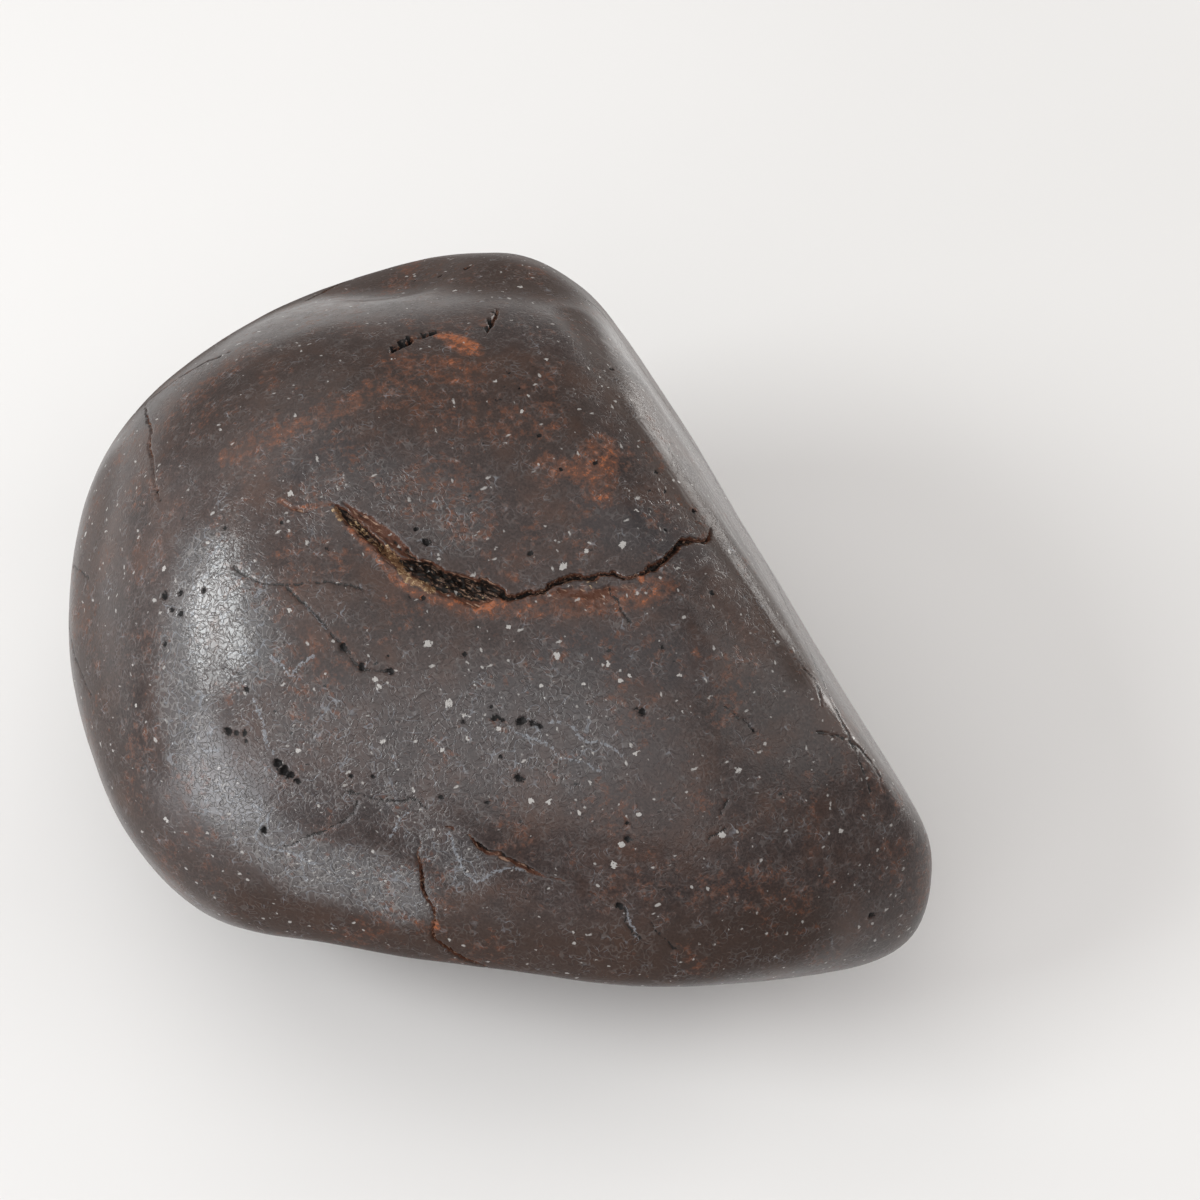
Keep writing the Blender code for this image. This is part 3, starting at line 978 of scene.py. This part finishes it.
class StoneSurface(Graph):
    """Dark polished stone. Each layer changes the colour, the roughness and the relief that it finds."""

    def __init__(self):
        super().__init__("meteorite_stone")
        self.where = millimetres(self)
        self.curled = warped(self, self.where, *CURLING)
        self.fine = self.texture("fine", self.where)
        self.grain = self.texture("grain", self.where)
        self.colour = GROUND_DARK
        polish = self.band(self.fine, "polish")
        self.rough = self.times_plus(self.value("dull_and_shade"), 0.30, polish)
        self.height = self.times_plus(self.grain, 0.25, self.times(self.fine, 0.35))

    def texture(self, name, where):
        return self.noise(where, *NOISES[name])

    def band(self, value, name):
        return self.spread(value, *BANDS[name])

    def layer(self, share, colour, strength=1.0, rough=0.0, height=0.0):
        if strength != 1.0:
            share = self.times(share, strength)
        self.colour = self.blend(share, self.colour, colour)
        if rough:
            self.rough = self.times_plus(share, rough, self.rough)
        if height:
            self.height = self.times_plus(share, height, self.height)

    def ground(self):
        """Clouding of three sizes, with warm and cool patches, browner duller patches that are partly painted
        shade, and polished patches lightened to grey, partly as a painted sheen.
        """
        coarse = self.times(self.math("ADD", self.texture("clouds", self.where), self.fine), 0.36)
        tone = self.times_plus(self.grain, 0.50, coarse)
        self.layer(self.band(tone, "pale_ground"), GROUND_PALE)
        warmth = self.texture("warm_clouds", shifted(self, self.where, "warm_clouds"))
        self.layer(self.band(warmth, "warm_clouds"), WARM_CLOUD)
        self.layer(self.value("cool"), COOL_CLOUD, strength=0.5)
        # duller patches turn darker brown, partly as painted shade
        self.layer(self.value("dull_and_shade"), DULL_BROWN_AND_SHADE, strength=0.6)
        # polished patches lighten to grey, partly as a painted sheen
        self.layer(self.value("polish_and_sheen"), GREY_AND_PAINTED_SHEEN, strength=0.5)

    def stains(self):
        """Rust, broken up by noise, and orange where it is strongest. A little of it lies everywhere."""
        everywhere = self.texture("stains", shifted(self, self.where, "stains"))
        here = self.math("MAXIMUM", self.value("rust"), self.band(everywhere, "stains"))
        total = self.times_plus(self.texture("rust", self.where), 2.2, here)
        self.layer(self.band(total, "rust_brown"), RUST_BROWN, strength=0.85, rough=0.10)
        self.layer(self.band(total, "rust_orange"), RUST_ORANGE, strength=0.85)

    def drawn(self, name):
        """1 where the mesh's closeness to a mark of this kind passes its threshold, with a ragged edge."""
        ragged = self.times_plus(self.math("SUBTRACT", self.grain, 0.5), MARK_RAGGEDNESS, self.value(name))
        return self.spread(ragged, MARKS[name] - MARK_EDGE, MARKS[name] + MARK_EDGE)

    def worm_lines(self, name, where, dense):
        """Thin lines of one of the noises, where the worms are dense enough for them."""
        lines = lines_of(self, self.texture(name, where), WORM_WIDTHS[name])
        return self.times(lines, self.band(dense, name))

    def worms(self):
        """Worm-like grooves and ridges, deep and dense in the polished patches, with longer curls and veins.
        The ridges are paler there, and the curls pale blue, partly as painted glints.
        """
        polish_and_sheen = self.value("polish_and_sheen")
        dense = self.times_plus(polish_and_sheen, 0.28, self.fine)
        relief = self.times_plus(polish_and_sheen, 1.1, 0.25)
        grooves = self.worm_lines("grooves", shifted(self, self.curled, "grooves"), dense)
        self.height = self.times_plus(self.times(grooves, relief), -0.9, self.height)
        self.layer(grooves, GROUND_DARK, strength=0.55)
        ridges = self.worm_lines("ridges", self.curled, dense)
        self.height = self.times_plus(self.times(ridges, relief), 1.1, self.height)
        # ridges are paler in the polished patches, partly as a painted highlight
        shown = self.times_plus(polish_and_sheen, 0.36, 0.28)
        self.layer(ridges, WORM_GREY, strength=shown, rough=-0.08)
        curls = self.worm_lines("curls", self.curled, dense)
        # pale blue curls, partly painted glints of the window
        self.layer(curls, VEIN_AND_GLINT_BLUE, strength=0.50, rough=-0.08)
        veins = self.times(self.drawn("vein"), self.band(self.grain, "veins"))
        self.layer(veins, VEIN_AND_GLINT_BLUE, strength=0.60, rough=-0.10, height=0.3)

    def streaks(self):
        """Long fine scratches along the straight facet."""
        along = unit(np.cross(direction(*CREST_FACE[:2]), direction(*WORN_FACES["top"][:2])))
        lengthwise = self.texture("streaks", drawn_along(self, self.where, along, STREAK_LENGTH))
        facet = self.value("facet")
        pale = self.times(self.band(lengthwise, "pale_streaks"), facet)
        self.layer(pale, WORM_GREY, strength=0.55, rough=-0.06)
        dark = self.times(self.band(lengthwise, "dark_streaks"), facet)
        self.layer(dark, GROUND_DARK, strength=0.6)

    def fissures(self):
        """Brown and grey fibres on the slopes of open fissures, black painted shade in their depth, and
        golden crumbs.
        """
        dark = self.value("dark")
        lumps = self.texture("lumps", self.where)
        along = unit(np.array(FIBRE_RUN))
        fibres = self.texture("fibres", drawn_along(self, self.where, along, GRAIN_LENGTH))
        slope = self.blend(self.band(fibres, "grey_fibres"), FISSURE_BROWN, FISSURE_GREY)
        self.layer(self.band(dark, "slopes"), slope, rough=0.25)
        # painted shade: black deep in the fissures
        self.layer(self.band(self.times_plus(fibres, -0.7, dark), "depths"), FISSURE_SHADE_BLACK)
        gold = self.blend(self.band(lumps, "gold"), CRUMB_TAN, CRUMB_GOLD)
        total = self.times_plus(self.value("crumbs"), 0.55, lumps)
        self.layer(self.band(total, "crumbs"), gold, rough=0.1)

    def flecks(self):
        """Scattered iron flecks and black pits, and the larger ones and the hairlines that the mesh knows."""
        torn = warped(self, self.where, *TEARING)
        for along in FLECK_RUNS:
            place = drawn_along(self, torn, unit(np.array(along)), FLECK_LENGTH)
            self.layer(specks(self, place, *FLECK_SPECKS), IRON_WHITE, strength=0.8, rough=-0.12)
        self.layer(self.drawn("fleck"), IRON_WHITE, rough=-0.12)
        place = drawn_along(self, shifted(self, torn, "pits"), unit(np.array(FLECK_RUNS[0])), PIT_LENGTH)
        self.layer(specks(self, place, *PIT_SPECKS), PIT_BLACK)
        self.layer(self.drawn("hairline"), HAIRLINE_BROWN, height=-0.8)
        self.layer(self.drawn("pit"), PIT_BLACK, rough=0.2)

    def coat(self):
        """More gloss on the facet and in the polished patches, less where the stone is duller, and none in
        pits and fissures.
        """
        gloss = self.times_plus(self.value("polish_and_sheen"), 0.60, COAT_WEIGHT)
        gloss = self.math("ADD", gloss, self.band(self.value("facet"), "facet_coat"))
        gloss = self.times_plus(self.value("dull_and_shade"), -0.38, gloss)
        inside = self.math("MAXIMUM", self.value("dark"), self.value("pit"))
        return self.math("SUBTRACT", gloss, self.band(inside, "no_coat"), clamp=True)

    def shaded(self):
        """The finished material."""
        relief = {"Height": self.height, "Strength": RELIEF_STRENGTH, "Distance": RELIEF_HEIGHT * MM}
        normal = self.add("Bump", relief)
        inputs = {
            "Base Color": self.colour,
            "Roughness": self.rough,
            "Normal": normal,
            "Specular IOR Level": SPECULAR,
            "Coat Normal": normal,
            "Coat Weight": self.coat(),
            "Coat Roughness": COAT_ROUGHNESS,
        }
        self.add("OutputMaterial", {"Surface": self.add("BsdfPrincipled", inputs)})
        return self.material


def stone_material():
    surface = StoneSurface()
    surface.ground()
    surface.stains()
    surface.worms()
    surface.streaks()
    surface.fissures()
    surface.flecks()
    return surface.shaded()


def make_stone(lowest, highest):
    stone = bpy.data.objects.new("meteorite_surface", surface_mesh(lowest, highest))
    stone.data.materials.append(stone_material())
    bpy.context.scene.collection.objects.link(stone)
    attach(stone, "root")
    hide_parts("meteorite")


# Studio. Lengths are in millimetres.
FLOOR_SIDE = 4000.0
FLOOR_COLOUR = (0.78, 0.77, 0.763, 1.0)
FLOOR_ROUGHNESS = 0.55
FLOOR_CLOUD_SIZE = 60.0
FLOOR_CLOUD_SHADE = 0.985  # how bright the clouds are beside the rest of the floor
WORLD_COLOUR = (1.0, 0.99, 0.98, 1.0)
WORLD_STRENGTH = 0.23

# Soft lights: azimuth, elevation and distance from the stone, width, height, brightness and colour.
LIGHTS = {
    "window": (192, 35, 450, 210, 150, 11.5, (0.97, 1.00, 1.00)),
    "left_low": (222, 10, 400, 240, 180, 4.2, (0.97, 0.97, 1.00)),
    "left_back_low": (162, 12, 350, 190, 110, 1.0, (1.00, 0.92, 0.90)),
    "front_top": (262, 50, 400, 420, 330, 1.25, (1.00, 0.97, 0.96)),
    "right_back": (38, 8, 400, 330, 110, 9.0, (1.00, 0.98, 0.95)),
    "back_left": (130, 42, 300, 240, 200, 1.25, (1.00, 0.98, 0.96)),
    "ceiling": (90, 86, 500, 420, 420, 0.6, (1.00, 0.98, 0.96)),
    "right": (350, 40, 450, 300, 220, 1.3, (1.00, 1.00, 0.99)),
    "front_right": (310, 40, 450, 260, 220, 0.3, (1.00, 0.97, 0.96)),
}
LIGHT_TARGET = np.array((0.0, 0.0, 12.0))


def floor_material():
    graph = Graph("studio_floor")
    cloud = graph.noise(millimetres(graph), FLOOR_CLOUD_SIZE, detail=3.0)
    shaded = (*(FLOOR_CLOUD_SHADE * part for part in FLOOR_COLOUR[:3]), 1.0)
    colour = graph.blend(graph.spread(cloud, 0.3, 0.7), FLOOR_COLOUR, shaded)
    shader = graph.add("BsdfPrincipled", {"Base Color": colour, "Roughness": FLOOR_ROUGHNESS})
    graph.add("OutputMaterial", {"Surface": shader})
    return graph.material


def make_floor():
    mesh = bpy.data.meshes.new("studio_floor")
    half = 0.5 * FLOOR_SIDE * MM
    corners = [(-half, -half, 0), (half, -half, 0), (half, half, 0), (-half, half, 0)]
    mesh.from_pydata(corners, [], [(0, 1, 2, 3)])
    floor = bpy.data.objects.new("studio_floor", mesh)
    mesh.materials.append(floor_material())
    bpy.context.scene.collection.objects.link(floor)


def make_light(name, azimuth, elevation, distance, width, height, brightness, colour):
    """A soft light that faces the stone, as bright as this, where a white wall in full light would be 1."""
    lamp = bpy.data.lights.new(name, "AREA")
    lamp.shape = "RECTANGLE"
    lamp.size = width * MM
    lamp.size_y = height * MM
    lamp.energy = brightness * math.pi * lamp.size * lamp.size_y
    lamp.color = colour
    light = bpy.data.objects.new(name, lamp)
    away = Vector(direction(azimuth, elevation))
    light.location = (Vector(LIGHT_TARGET) + away * distance) * MM
    light.rotation_euler = away.to_track_quat("Z", "Y").to_euler()
    bpy.context.scene.collection.objects.link(light)


def make_world():
    world = bpy.data.worlds.new("studio")
    world.use_nodes = True
    background = world.node_tree.nodes["Background"]
    background.inputs["Color"].default_value = WORLD_COLOUR
    background.inputs["Strength"].default_value = WORLD_STRENGTH
    bpy.context.scene.world = world


def make_camera():
    lens = bpy.data.cameras.new("camera")
    lens.sensor_width = SENSOR_WIDTH
    lens.lens = SENSOR_WIDTH * FOCAL_PIXELS / PHOTO_PIXELS
    lens.clip_start = 10.0 * MM
    camera = bpy.data.objects.new("camera", lens)
    camera.location = Vector(CAMERA_PLACE) * MM
    camera.rotation_euler = (CAMERA_TILT, 0.0, 0.0)
    bpy.context.scene.collection.objects.link(camera)
    bpy.context.scene.camera = camera


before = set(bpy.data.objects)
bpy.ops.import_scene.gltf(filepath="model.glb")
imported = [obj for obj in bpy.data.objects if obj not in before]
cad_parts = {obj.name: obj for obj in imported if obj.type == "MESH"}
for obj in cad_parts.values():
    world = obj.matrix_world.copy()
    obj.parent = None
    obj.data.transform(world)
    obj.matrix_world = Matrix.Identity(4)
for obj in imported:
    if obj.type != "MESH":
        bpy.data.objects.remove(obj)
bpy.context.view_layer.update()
lowest, highest = (np.array(corner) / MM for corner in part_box("meteorite"))
make_stone(lowest, highest)
make_floor()
for light_name, light_facts in LIGHTS.items():
    make_light(light_name, *light_facts)
make_world()
make_camera()
bpy.context.scene.view_settings.view_transform = "Standard"
